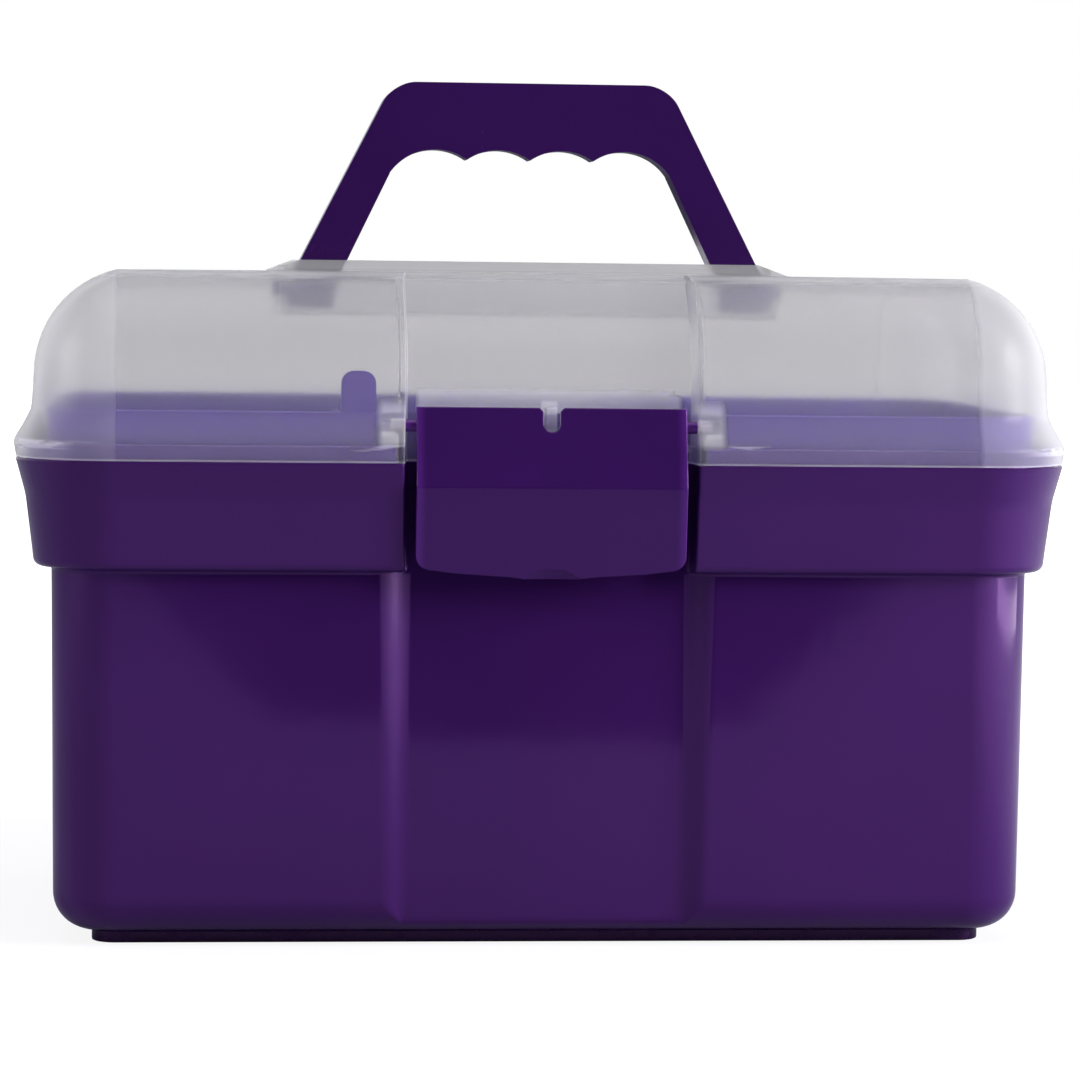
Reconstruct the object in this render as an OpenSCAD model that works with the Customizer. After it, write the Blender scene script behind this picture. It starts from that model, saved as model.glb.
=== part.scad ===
// Grooming box: a moulded tub, a translucent hinged lid, a folding handle, a front latch and a lift-out tray.
// +X is right, -Y is the front and +Z is up. The origin is the middle of the flat underside.
// Each wall is given by its insets, measured inward from the rim's outline in plan.

/* [Box] */
// Width over the rim, the widest line of the box
box_w = 340; // [260:1:420]
// Depth over the rim, front to back
box_d = 206; // [170:1:260]
// Corner radius of the rim in plan
rim_r = 33; // [30:0.5:45]
// Height of the tub's rim, where the lid closes on it
rim_z = 155.5; // [125:0.5:200]
// Gap between the closed lid and the tub's rim
lid_gap = 0.3; // [0.3:0.05:1]

/* [Tub] */
// Wall of the tub
tub_wall = 2.2; // [1.6:0.1:3]
// Inset of the body just below the collar
body_inset = 12.1; // [10.5:0.1:14]
// Extra inset of the body at its foot, which is the moulding's draft
body_draft = 0.9; // [0:0.1:2]
// Radius of the body's bottom edge
bottom_r = 12; // [6:0.5:14]
// Height of the foot that the box stands on
foot_h = 4; // [2:0.5:8]
// Flat strip between the bottom edge's curve and the foot
foot_step = 0.5; // [0.2:0.1:1]
// Height of the collar from its lower edge to the rim
collar_h = 34.5; // [25:0.5:45]
// Inset of the collar at its lower edge
collar_inset = 6.2; // [5:0.1:8]
// Radius of the collar's lower edge
collar_round = 2.5; // [1:0.1:4]
// Inset of the collar where it starts to flare out
waist_inset = 3.7; // [3:0.1:5]
// Height of the flare below the rim
flare_h = 11.5; // [6:0.5:18]
// Inset of the rim's outer edge
rim_inset = 0.5; // [0:0.1:1]
// Height of the tongue that stands inside the lid's lip
tongue_h = 5.5; // [3:0.5:8]
// Thickness of the tongue
tongue_t = 1.8; // [1.4:0.1:2.5]
// Gap between the tongue and the lid's lip
tongue_gap = 0.8; // [0.5:0.05:1.5]

/* [Front channel] */
// Distance of the channel's floor behind the rim's front
channel_in = 16.2; // [14.5:0.1:20]
// Half width of the channel's floor in the body
body_floor_half = 45.6; // [35:0.1:50]
// Run of each side slope of the channel in the body
body_slope = 6.4; // [5:0.1:14]
// Half width of the channel's floor in the collar and the lid
bay_floor_half = 45.6; // [38:0.1:55]
// Run of each side wall of the channel in the collar and the lid
bay_slope = 1.3; // [0.5:0.1:3]
// Height of the sloping top end of the channel in the lid
bay_lean_h = 22; // [14:0.5:24]
// Distance that this top end leans back
bay_lean_run = 22.8; // [16:0.2:30]
// Half length of the catch rib in the channel
catch_half = 30; // [15:1:38]
// Reach of the catch rib from the channel's floor
catch_out = 5; // [3:0.1:6]
// Height of the catch rib's section
catch_h = 3; // [2:0.1:5]
// Height of the catch rib's underside above the collar's lower edge
catch_up = 8.5; // [6:0.5:14]

/* [Lid] */
// Wall of the lid
lid_wall = 2; // [1.4:0.1:2.6]
// Wall of the lid's lip
lip_wall = 2.2; // [1.6:0.1:2.6]
// Inset of the lip's lower edge
lip_foot_inset = 0.7; // [0.3:0.1:1.5]
// Height of the lip's widest line above its lower edge
lip_rise = 4.7; // [3:0.1:7]
// Height from the lip's widest line to the top of its flare
lip_flare_h = 11; // [7:0.5:16]
// Inset of the lid's wall at the top of the flare
lid_wall_inset = 5.6; // [4:0.1:7]
// Height of the lid's wall from the flare to the shoulder
lid_wall_h = 11; // [6:0.5:20]
// Extra inset of the lid's wall at the shoulder
lid_draft = 0.7; // [0.2:0.1:1.5]
// Radius of the lid's shoulder
shoulder_r = 34; // [29:0.5:40]
// Height of the raised platform round the handle's well
platform_h = 3.7; // [2:0.1:6]
// Width of the platform's top round the well, with the well's wall
platform_rim = 2; // [1.9:0.1:4]
// Run of the platform's front and back slopes
platform_slope = 3; // [1:0.1:5]
// Run of the slopes at the platform's two ends
platform_end_run = 10; // [4:0.5:14]

/* [Handle] */
// Height of the handle's top above its pivot
handle_reach = 68.7; // [60:0.1:80]
// Half width of the handle where its outer edges would meet the top
handle_top_half = 46.4; // [42:0.2:52]
// Half width of the handle at the pivot
handle_foot_half = 81.5; // [72:0.5:95]
// Radius of the handle's upper corners
handle_corner_r = 12.5; // [6:0.5:16]
// Thickness of the handle, front to back
handle_t = 14; // [10:0.5:16]
// Height of the finger scallops' crowns below the handle's top
grip_h = 22.5; // [18:0.5:28]
// Spacing of the finger scallops
finger_pitch = 21.3; // [18:0.1:23]
// Radius of a finger scallop
finger_r = 18.8; // [14:0.2:24]
// Width of a handle leg, measured level
leg_w = 15.9; // [12:0.1:20]
// Depth of the handle's pivot below the lid's top
pivot_drop = 5; // [4.5:0.1:7]
// Diameter of the handle's trunnions
trunnion_d = 5; // [3:0.1:6]
// Reach of a trunnion from the leg's side
trunnion_out = 4.2; // [3:0.1:6]
// Gap between the handle and the well round it
well_gap = 0.6; // [0.4:0.1:1.5]
// Gap in front of the upright handle and behind the folded one
well_end_gap = 1.9; // [1:0.1:4]
// Radius of the bosses that carry the trunnions
trunnion_boss_r = 4.4; // [3.6:0.1:5]

/* [Latch] */
// Width of the latch
latch_w = 86; // [60:0.5:88]
// Thickness of the latch's plate
latch_t = 3; // [2:0.1:3.5]
// Height of the latch's top edge above the rim
latch_up = 18; // [14:0.5:22]
// Length of the latch below the rim, at its corners
latch_down = 33; // [28:0.5:36]
// Extra length of the latch at the middle of its bowed lower edge
latch_bow = 2.6; // [0:0.1:5]
// Cut of the latch's lower corners
latch_corner = 3; // [1:0.5:6]
// Inset of the latch's top edge
latch_top_inset = 6.5; // [5:0.1:8]
// Height of the latch's crease below the rim
crease_down = 7; // [3:0.5:12]
// Inset of the latch's lower edge
latch_foot_inset = 3.4; // [0.5:0.1:4]
// Height of the latch's pivot above the rim
latch_pivot_up = 12; // [10:0.1:13]
// Inset of the latch's pivot
latch_pivot_inset = 8; // [7:0.1:9]
// Diameter of the latch's pivot stubs
stub_d = 4; // [3:0.1:5]
// Reach of a pivot stub from the latch's side
stub_out = 7; // [5:0.1:9]
// Radius of the barrel that stiffens the latch at its pivot
barrel_r = 2.8; // [2.4:0.1:2.9]
// Radius of the lid's bosses that carry the stubs
stub_boss_r = 4.2; // [3.4:0.1:5]
// Half width of the notch in the latch's top edge
notch_half = 2.7; // [2:0.1:5]
// Depth of that notch
notch_h = 7.7; // [4:0.1:9]
// Chamfer at the mouth of the notch
notch_chamfer = 1.3; // [0.5:0.1:2]
// Gap between the notch and the lid's lug inside it
lug_gap = 1.1; // [0.5:0.1:1.6]
// Gap between the latch's bead and the catch rib
bead_gap = 0.4; // [0.3:0.05:1]
// Height of the bead's section
bead_h = 3; // [2:0.1:5]
// Width of the thumb scoop at the latch's lower edge
scoop_w = 20; // [12:0.5:24]
// Height of the thumb scoop above that edge
scoop_rise = 2.6; // [2:0.1:4]
// Diameter of the ball that shapes the thumb scoop
scoop_d = 100; // [90:1:140]

/* [Tray] */
// Wall and floor of the tray
tray_wall = 1.8; // [1.2:0.1:2.5]
// Inset of the tray's rim
tray_inset = 10; // [9.6:0.1:12]
// Extra inset of the tray at its floor
tray_draft = 1.5; // [0.5:0.1:1.8]
// Height of the tray
tray_h = 48; // [30:0.5:52]
// Gap below the tray where it stands on the tub's ledge
tray_gap = 0.3; // [0.3:0.05:0.6]
// Gap between the tray's front notch and the channel's walls
tray_notch_gap = 1.6; // [1.2:0.1:3]
// Half width of the tray's front notch
tray_notch_half = 55; // [53:0.5:65]
// Distance of each cross divider from the middle
divider_x = 61; // [58:0.5:80]
// Height of the dividers below the tray's rim
divider_drop = 6; // [2:0.5:20]
// Width of the tray's lifting tab
tab_w = 11; // [8:0.5:18]
// Thickness of the lifting tab
tab_t = 3.5; // [2.5:0.1:5]
// Height of the lifting tab above the tray's rim
tab_up = 13; // [6:0.5:14]
// Radius of the lifting tab's upper corners
tab_r = 4; // [2:0.5:5]

/* [Hinges] */
// Distance of each hinge's middle from the middle of the box
hinge_x = 85; // [60:1:110]
// Distance of the hinge axis behind the rim
hinge_out = 4.8; // [4.6:0.1:7]
// Radius of the hinge knuckles
knuckle_r = 4.2; // [3.4:0.1:4.3]
// Length of the lid's knuckle
lid_knuckle = 16; // [10:0.5:24]
// Length of each of the tub's knuckles
tub_knuckle = 12; // [8:0.5:20]
// Gap between neighbouring knuckles
knuckle_gap = 0.4; // [0.3:0.05:1]
// Height of the gussets that carry the knuckles
gusset_h = 11; // [7:0.5:14]
// Diameter of the hinge pins
pin_d = 4; // [3:0.1:5]
// Diameter of a hinge pin's head
pin_head_d = 6.4; // [5:0.1:7.5]
// Thickness of a hinge pin's head
pin_head_h = 1.6; // [1:0.1:3]

/* [Fits] */
// Radial clearance of every pin in its bore
running = 0.05; // [0.03:0.01:0.1]
// Overlap of pieces that are moulded in one
merge = 0.4; // [0.2:0.05:0.6]
// Overrun of every cut past the face it leaves through
over = 1; // [0.5:0.1:2]

/* [Hidden] */
$fn = 72;
purple = [0.075, 0.022, 0.17];
milky = [0.8, 0.8, 0.83, 0.45];
steel = [0.6, 0.6, 0.62];
arc_steps = 10;
bottom_steps = 6;
front_y = -box_d / 2;
axis_x = box_w / 2 - rim_r;
axis_y = box_d / 2 - rim_r;
floor_y = front_y + channel_in;
collar_z = rim_z - collar_h;
ledge_z = collar_z + tub_wall;
curve_inset = body_inset + body_draft + bottom_r;
curve_z = foot_h + bottom_r;
foot_inset = curve_inset + foot_step;
tongue_inset = lip_wall + tongue_gap;
lid_z = rim_z + lid_gap;
lip_z = lid_z + lip_rise;
flare_z = lip_z + lip_flare_h;
shoulder_z = flare_z + lid_wall_h;
shoulder_inset = lid_wall_inset + lid_draft;
shoulder_end = acos(1 - (rim_r - shoulder_inset) / shoulder_r);
lid_top = shoulder_z + shoulder_r * sin(shoulder_end);
hollow_end = acos((shoulder_inset + shoulder_r - rim_r) / (shoulder_r - lid_wall));
platform_z = lid_top + platform_h;
pivot_z = lid_top - pivot_drop;
handle_top = pivot_z + handle_reach;
leg_run = (handle_foot_half - handle_top_half) / handle_reach;
foot_r = handle_t / 2;
well_half = handle_foot_half + well_gap;
well_z = pivot_z - foot_r - well_gap;
well_front = -foot_r - well_end_gap;
well_back = handle_reach + well_end_gap;
scallop_z = handle_top - grip_h - finger_r;
latch_half = latch_w / 2;
latch_pivot_y = front_y + latch_pivot_inset;
latch_pivot_z = rim_z + latch_pivot_up;
latch_top = rim_z + latch_up;
latch_foot = rim_z - latch_down;
catch_z = collar_z + catch_up;
catch_y = floor_y - catch_out;
tray_z = ledge_z + tray_gap;
tray_top = tray_z + tray_h;
tray_notch_y = floor_y + tub_wall + tray_notch_gap;
hinge_y = box_d / 2 + hinge_out;
hinge_z = rim_z + lid_gap / 2;
hinge_half = lid_knuckle / 2 + knuckle_gap + tub_knuckle;
latch_low = latch_foot - latch_bow;
// The body's slopes reach the surface within the body's own depth behind the rim.
body_run = body_slope * channel_in / (channel_in - body_inset);
// Where the lip's flare changes slope, and where the latch's bow has most of its drop
flare_share = 0.45;
flare_height_share = 0.45;
bow_place_share = 0.5;
bow_share = 0.76;
// How far the inner face of the channel's sloping end sinks for its wall to keep its thickness
lean_sink_share = 0.4;

// Points [reach, height] from a list of [inset, height]: the reach is measured outward from the corner axes.
function reaches(insets) = [for (p = insets) [rim_r - p[0], p[1]]];

// A quarter curve of insets from the underside up to the wall.
function bottom_curve(r) = [
    for (k = [0 : bottom_steps])
        let (t = 90 * k / bottom_steps)
        [curve_inset - r * sin(t), curve_z - r * cos(t)]
];

// The lid's shoulder, from its wall up to the corner axes.
function shoulder_curve(r, last) = [
    for (k = [0 : arc_steps])
        let (t = last * k / arc_steps)
        [shoulder_inset + shoulder_r - r * cos(t), shoulder_z + r * sin(t)]
];

tub_outside = concat(
    [[foot_inset, 0], [foot_inset, foot_h]],
    bottom_curve(bottom_r),
    [
        [body_inset, collar_z],
        [collar_inset + collar_round, collar_z],
        [collar_inset + collar_round * (1 - sin(45)), collar_z + collar_round * (1 - cos(45))],
        [collar_inset, collar_z + collar_round],
        [waist_inset, rim_z - flare_h],
        [rim_inset, rim_z],
        [tongue_inset, rim_z],
        [tongue_inset, rim_z + tongue_h]
    ]
);

tub_inside = concat(
    [[foot_inset + tub_wall, tub_wall], [foot_inset + tub_wall, foot_h + tub_wall]],
    bottom_curve(bottom_r - tub_wall),
    [
        [body_inset + tub_wall, ledge_z],
        [collar_inset + tub_wall, ledge_z],
        [waist_inset + tub_wall, rim_z - flare_h],
        [tongue_inset + tongue_t, rim_z],
        [tongue_inset + tongue_t, rim_z + tongue_h + over]
    ]
);

lid_outside = concat(
    [
        [lip_foot_inset, lid_z],
        [0, lip_z],
        [lid_wall_inset * flare_share, lip_z + lip_flare_h * flare_height_share],
        [lid_wall_inset, flare_z]
    ],
    shoulder_curve(shoulder_r, shoulder_end)
);

lid_inside = concat(
    [
        [lip_wall, lid_z - over],
        [lip_wall, lip_z + merge],
        [lid_wall_inset * flare_share + lid_wall, lip_z + lip_flare_h * flare_height_share],
        [lid_wall_inset + lid_wall, flare_z]
    ],
    shoulder_curve(shoulder_r - lid_wall, hollow_end)
);

// A solid that carries one profile all round the box's rounded rectangle.
module swept(insets) {
    outline = reaches(insets);
    low = outline[0][1];
    high = outline[len(outline) - 1][1];
    section = concat([[0, low]], outline, [[0, high]]);
    translate([-axis_x, -axis_y, low])
        cube([2 * axis_x, 2 * axis_y, high - low]);
    for (turn = [0, 180])
        rotate([0, 0, turn]) {
            translate([-axis_x, axis_y, 0])
                rotate([90, 0, 90])
                    linear_extrude(2 * axis_x)
                        polygon(section);
            translate([axis_x, axis_y, 0])
                rotate([90, 0, 0])
                    linear_extrude(2 * axis_y)
                        polygon(section);
            translate([axis_x, axis_y, 0])
                rotate_extrude(angle = 90)
                    polygon(section);
            translate([-axis_x, axis_y, 0])
                rotate([0, 0, 90])
                    rotate_extrude(angle = 90)
                        polygon(section);
        }
}

// A block in front of the box, with sloping sides, that stands for the channel or for the wall behind it.
// Its sides go on behind the channel's floor by the given distance.
module channel(half, slope, grow, low, high, behind = 0) {
    front_x = half + grow + slope * (channel_in + over + grow) / channel_in;
    back_x = half + grow - slope * behind / channel_in;
    translate([0, 0, low])
        linear_extrude(high - low)
            polygon([
                [-back_x, floor_y + grow + behind],
                [back_x, floor_y + grow + behind],
                [front_x, front_y - over],
                [-front_x, front_y - over]
            ]);
}

module body_channel(grow, high) {
    channel(body_floor_half, body_run, grow, -over, high);
}

module bay_channel(grow, low) {
    channel(bay_floor_half, bay_slope, grow, low, platform_z + over);
}

// The channel in the lid, whose floor leans back at its top end.
module lid_channel(grow, low) {
    high = lid_top + over;
    start_z = lid_top - bay_lean_h - grow * lean_sink_share;
    behind = (high - start_z) * bay_lean_run / bay_lean_h;
    intersection() {
        channel(bay_floor_half, bay_slope, grow, low, high, behind);
        plate_x(-box_w / 2, box_w / 2, [
            [front_y - over, low],
            [floor_y + grow, low],
            [floor_y + grow, start_z],
            [floor_y + grow + behind, high],
            [front_y - over, high]
        ]);
    }
}

// A bar along X with its axis at a height and a depth.
module bar(r, from_x, to_x, y, z) {
    translate([from_x, y, z])
        rotate([0, 90, 0])
            cylinder(r = r, h = to_x - from_x);
}

// A plate along X whose outline is given as [y, z] points.
module plate_x(from_x, to_x, points) {
    translate([from_x, 0, 0])
        rotate([90, 0, 90])
            linear_extrude(to_x - from_x)
                polygon(points);
}

module tub_knuckles(middle) {
    inner = lid_knuckle / 2 + knuckle_gap;
    root_y = box_d / 2 - waist_inset;
    for (from_x = [middle - hinge_half, middle + inner]) {
        bar(knuckle_r, from_x, from_x + tub_knuckle, hinge_y, hinge_z);
        plate_x(from_x, from_x + tub_knuckle, [
            [hinge_y, hinge_z - knuckle_r],
            [hinge_y, rim_z],
            [root_y, rim_z],
            [root_y, rim_z - gusset_h]
        ]);
    }
}

module tub() {
    color(purple)
        difference() {
            union() {
                difference() {
                    swept(tub_outside);
                    body_channel(0, collar_z);
                    bay_channel(0, collar_z);
                    difference() {
                        swept(tub_inside);
                        body_channel(tub_wall, ledge_z);
                        bay_channel(tub_wall, ledge_z);
                    }
                    translate([-bay_floor_half - bay_slope - tub_wall, front_y, rim_z])
                        cube([2 * (bay_floor_half + bay_slope + tub_wall), box_d / 2, tongue_h + over]);
                }
                translate([-catch_half, catch_y, catch_z])
                    cube([2 * catch_half, catch_out + merge, catch_h]);
                tub_knuckles(-hinge_x);
                tub_knuckles(hinge_x);
            }
            for (middle = [-hinge_x, hinge_x])
                bar(pin_d / 2 + running, middle - hinge_half - over, middle + hinge_half + over, hinge_y, hinge_z);
        }
}

// The raised platform: a low frustum whose four sides slope, at its ends over a part of the well.
module platform() {
    front = well_front - platform_rim;
    back = well_back + platform_rim;
    low = lid_top - lid_wall;
    rise_share = (platform_z - low) / platform_h;
    spread = platform_slope * rise_share;
    side = well_half + platform_rim + platform_slope - platform_end_run;
    foot = side + platform_end_run * rise_share;
    intersection() {
        translate([0, back + spread, 0])
            rotate([90, 0, 0])
                linear_extrude(back - front + 2 * spread)
                    polygon([[-foot, low], [foot, low], [side, platform_z], [-side, platform_z]]);
        plate_x(-foot, foot, [
            [front - spread, low],
            [back + spread, low],
            [back, platform_z],
            [front, platform_z]
        ]);
    }
}

// The well that the handle stands in and folds into, grown by the thickness of its walls for the block round it.
module well(grow) {
    translate([-well_half - grow, well_front - grow, well_z - grow])
        cube([2 * (well_half + grow), well_back - well_front + 2 * grow, platform_z - well_z + grow + over]);
}

module lid_knuckle_at(middle) {
    half = lid_knuckle / 2;
    root_y = box_d / 2 - lip_foot_inset - lip_wall / 2;
    bar(knuckle_r, middle - half, middle + half, hinge_y, hinge_z);
    plate_x(middle - half, middle + half, [
        [hinge_y, lid_z + lid_gap],
        [hinge_y, hinge_z + knuckle_r],
        [root_y, lip_z + merge],
        [root_y, lid_z + lid_gap]
    ]);
}

module lid() {
    stub_end = latch_half + stub_out;
    pin_bore = pin_d / 2 + running;
    color(milky)
        difference() {
            union() {
                difference() {
                    union() {
                        swept(lid_outside);
                        platform();
                    }
                    lid_channel(0, lid_z - over);
                    well(0);
                    difference() {
                        swept(lid_inside);
                        lid_channel(lid_wall, lid_z - 2 * over);
                        well(lid_wall);
                        for (side = [-1, 1])
                            bar(
                                trunnion_boss_r,
                                side * (well_half + trunnion_out / 2) - trunnion_out / 2,
                                side * (well_half + trunnion_out / 2) + trunnion_out / 2,
                                0,
                                pivot_z
                            );
                    }
                }
                for (side = [-1, 1])
                    bar(
                        stub_boss_r,
                        side * (bay_floor_half + bay_slope + stub_out / 2) - stub_out / 2,
                        side * (bay_floor_half + bay_slope + stub_out / 2) + stub_out / 2,
                        latch_pivot_y,
                        latch_pivot_z
                    );
                lock_lug();
                lid_knuckle_at(-hinge_x);
                lid_knuckle_at(hinge_x);
            }
            bar(stub_d / 2 + running, -stub_end - over, stub_end + over, latch_pivot_y, latch_pivot_z);
            bar(
                trunnion_d / 2 + running,
                -handle_foot_half - trunnion_out - over,
                handle_foot_half + trunnion_out + over,
                0,
                pivot_z
            );
            for (middle = [-hinge_x, hinge_x])
                bar(pin_bore, middle - lid_knuckle / 2 - over, middle + lid_knuckle / 2 + over, hinge_y, hinge_z);
        }
}

// The lid's lug that shows in the latch's notch and keeps the latch central.
module lock_lug() {
    half = notch_half - lug_gap;
    low = latch_top - notch_h + lug_gap;
    translate([-half, latch_pivot_y, low])
        cube([2 * half, floor_y - latch_pivot_y + merge, latch_top - low]);
}

// The handle's outline in the plane of its face, with the finger scallops cut out.
module handle_outline() {
    tangent = handle_corner_r * tan(45 - atan(leg_run) / 2);
    flat_half = handle_top_half - tangent;
    side_x = handle_top_half + tangent * sin(atan(leg_run));
    side_z = handle_top - tangent * cos(atan(leg_run));
    low = pivot_z - foot_r - over;
    inner_foot = handle_foot_half - leg_w;
    inner_top = inner_foot - leg_run * handle_reach;
    difference() {
        union() {
            polygon([
                [-flat_half, handle_top],
                [flat_half, handle_top],
                [side_x, side_z],
                [handle_foot_half, pivot_z],
                [handle_foot_half, low],
                [-handle_foot_half, low],
                [-handle_foot_half, pivot_z],
                [-side_x, side_z]
            ]);
            for (side = [-1, 1])
                translate([side * flat_half, handle_top - handle_corner_r])
                    circle(r = handle_corner_r);
        }
        // The legs' inner edges run beside the outer ones and bound the scallops.
        intersection() {
            polygon([
                [-inner_top, handle_top],
                [inner_top, handle_top],
                [inner_foot, pivot_z],
                [inner_foot, low - over],
                [-inner_foot, low - over],
                [-inner_foot, pivot_z]
            ]);
            union() {
                translate([-handle_foot_half, low - over])
                    square([2 * handle_foot_half, scallop_z + finger_r / 2 - low + over]);
                for (k = [-1.5 : 1 : 1.5])
                    translate([k * finger_pitch, scallop_z])
                        circle(r = finger_r);
            }
        }
    }
}

module handle() {
    color(purple) {
        intersection() {
            translate([0, foot_r, 0])
                rotate([90, 0, 0])
                    linear_extrude(handle_t)
                        handle_outline();
            union() {
                translate([-handle_foot_half - over, -foot_r - over, pivot_z])
                    cube([2 * (handle_foot_half + over), handle_t + 2 * over, handle_reach + over]);
                bar(foot_r, -handle_foot_half - over, handle_foot_half + over, 0, pivot_z);
            }
        }
        for (side = [-1, 1])
            bar(
                trunnion_d / 2,
                side * (handle_foot_half + (trunnion_out - merge) / 2) - (trunnion_out + merge) / 2,
                side * (handle_foot_half + (trunnion_out - merge) / 2) + (trunnion_out + merge) / 2,
                0,
                pivot_z
            );
    }
}

// The latch's face, with its bowed lower edge and the notch in its top edge.
module latch_face() {
    half = latch_half;
    notch_z = latch_top - notch_h;
    mouth = notch_half + notch_chamfer;
    polygon([
        [-half, latch_top],
        [-mouth, latch_top],
        [-notch_half, latch_top - notch_chamfer],
        [-notch_half, notch_z],
        [notch_half, notch_z],
        [notch_half, latch_top - notch_chamfer],
        [mouth, latch_top],
        [half, latch_top],
        [half, latch_foot + latch_corner],
        [half - latch_corner, latch_foot],
        [half * bow_place_share, latch_foot - latch_bow * bow_share],
        [0, latch_low],
        [-half * bow_place_share, latch_foot - latch_bow * bow_share],
        [-half + latch_corner, latch_foot],
        [-half, latch_foot + latch_corner]
    ]);
}

module latch() {
    top_y = front_y + latch_top_inset;
    crease_z = rim_z - crease_down;
    foot_y = front_y + latch_foot_inset;
    bead_y = catch_y - bead_gap;
    bead_root = front_y + latch_t - merge;
    scoop_r = (scoop_w * scoop_w / 4 + scoop_rise * scoop_rise) / (2 * scoop_rise);
    scoop_out = sqrt(scoop_d * scoop_d / 4 - scoop_r * scoop_r);
    color(purple)
        difference() {
            union() {
                intersection() {
                    union() {
                        plate_x(-latch_half, latch_half, [
                            [top_y, latch_top],
                            [front_y, crease_z],
                            [foot_y, latch_low],
                            [foot_y + latch_t, latch_low],
                            [front_y + latch_t, crease_z],
                            [top_y + latch_t, latch_top]
                        ]);
                        bar(barrel_r, -latch_half, latch_half, latch_pivot_y, latch_pivot_z);
                    }
                    translate([0, floor_y, 0])
                        rotate([90, 0, 0])
                            linear_extrude(channel_in + over)
                                latch_face();
                }
                for (side = [-1, 1])
                    bar(
                        stub_d / 2,
                        side * (latch_half + (stub_out - merge) / 2) - (stub_out + merge) / 2,
                        side * (latch_half + (stub_out - merge) / 2) + (stub_out + merge) / 2,
                        latch_pivot_y,
                        latch_pivot_z
                    );
                translate([-catch_half, bead_root, catch_z - bead_gap - bead_h])
                    cube([2 * catch_half, bead_y - bead_root, bead_h]);
            }
            translate([0, foot_y - scoop_out, latch_low + scoop_rise - scoop_r])
                sphere(d = scoop_d);
        }
}

tray_outside = [[tray_inset + tray_draft, tray_z], [tray_inset, tray_top]];
tray_inside = [
    [tray_inset + tray_draft + tray_wall, tray_z + tray_wall],
    [tray_inset + tray_wall, tray_top],
    [tray_inset + tray_wall, tray_top + over]
];

// The block that keeps the tray clear of the channel, grown by the tray's wall for the wall behind it.
module tray_notch(grow) {
    half = tray_notch_half + grow;
    translate([-half, front_y, tray_z - over])
        cube([2 * half, tray_notch_y + grow - front_y, tray_h + 2 * over]);
}

// The lifting tab, which runs down the front wall as a rib.
module tray_tab() {
    low = tray_z + tray_wall - merge;
    top = tray_top + tab_up;
    root_y = front_y + tray_inset + tray_wall - merge;
    translate([-divider_x, root_y + tab_t, 0])
        rotate([90, 0, 0])
            linear_extrude(tab_t) {
                translate([-tab_w / 2, low])
                    square([tab_w, top - tab_r - low]);
                translate([-tab_w / 2 + tab_r, low])
                    square([tab_w - 2 * tab_r, top - low]);
                for (side = [-1, 1])
                    translate([side * (tab_w / 2 - tab_r), top - tab_r])
                        circle(r = tab_r);
            }
}

module tray() {
    color(purple) {
        difference() {
            swept(tray_outside);
            tray_notch(0);
            difference() {
                swept(tray_inside);
                tray_notch(tray_wall);
                for (side = [-1, 1])
                    translate([side * divider_x - tray_wall / 2, front_y, tray_z])
                        cube([tray_wall, box_d, tray_h - divider_drop]);
            }
        }
        tray_tab();
    }
}

// A headed pin that lies along a hinge axis, with its head at the outer end.
module hinge_pin(side) {
    end = hinge_half + pin_head_h / 2;
    color(steel) {
        bar(pin_d / 2, side * hinge_x - hinge_half, side * hinge_x + hinge_half, hinge_y, hinge_z);
        bar(
            pin_head_d / 2,
            side * (hinge_x + end) - pin_head_h / 2,
            side * (hinge_x + end) + pin_head_h / 2,
            hinge_y,
            hinge_z
        );
    }
}

module hinge_pin_left() {
    hinge_pin(-1);
}

module hinge_pin_right() {
    hinge_pin(1);
}

tub();
lid();
handle();
latch();
tray();
hinge_pin_left();
hinge_pin_right();
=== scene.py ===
# %% [markdown]
# # A moulded grooming box
# The box is a purple tub with a milky see-through lid, a folding handle, a snap latch and a lift-out tray.
# The CAD frame is loaded first, because every piece is modelled at its CAD place and rides on a CAD body.

# %% Load the frame
import math
import bmesh
import bpy
from mathutils import Matrix, Vector


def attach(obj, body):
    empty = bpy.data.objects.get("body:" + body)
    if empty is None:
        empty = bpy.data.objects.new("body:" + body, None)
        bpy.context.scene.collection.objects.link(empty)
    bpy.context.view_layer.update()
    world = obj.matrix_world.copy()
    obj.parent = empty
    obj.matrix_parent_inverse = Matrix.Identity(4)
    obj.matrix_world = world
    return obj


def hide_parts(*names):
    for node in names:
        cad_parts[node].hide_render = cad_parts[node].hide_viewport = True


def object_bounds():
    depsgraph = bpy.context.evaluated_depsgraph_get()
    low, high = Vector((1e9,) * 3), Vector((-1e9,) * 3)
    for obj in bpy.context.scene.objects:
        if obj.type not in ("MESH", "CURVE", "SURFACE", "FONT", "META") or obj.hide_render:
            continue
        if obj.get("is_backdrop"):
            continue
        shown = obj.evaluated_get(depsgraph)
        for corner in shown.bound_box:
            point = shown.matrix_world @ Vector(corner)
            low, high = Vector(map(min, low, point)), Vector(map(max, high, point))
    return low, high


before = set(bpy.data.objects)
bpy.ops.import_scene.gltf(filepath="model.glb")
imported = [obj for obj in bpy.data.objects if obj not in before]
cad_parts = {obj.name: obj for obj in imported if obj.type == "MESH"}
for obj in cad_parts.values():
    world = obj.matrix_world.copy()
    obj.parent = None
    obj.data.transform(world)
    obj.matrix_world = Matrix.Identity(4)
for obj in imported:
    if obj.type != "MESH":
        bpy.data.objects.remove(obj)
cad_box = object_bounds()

MM = 0.001

# %% [markdown]
# ## Sizes
# The sizes repeat the part's own, in millimetres. An inset is measured inward from the widest line, the lip.

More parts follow.
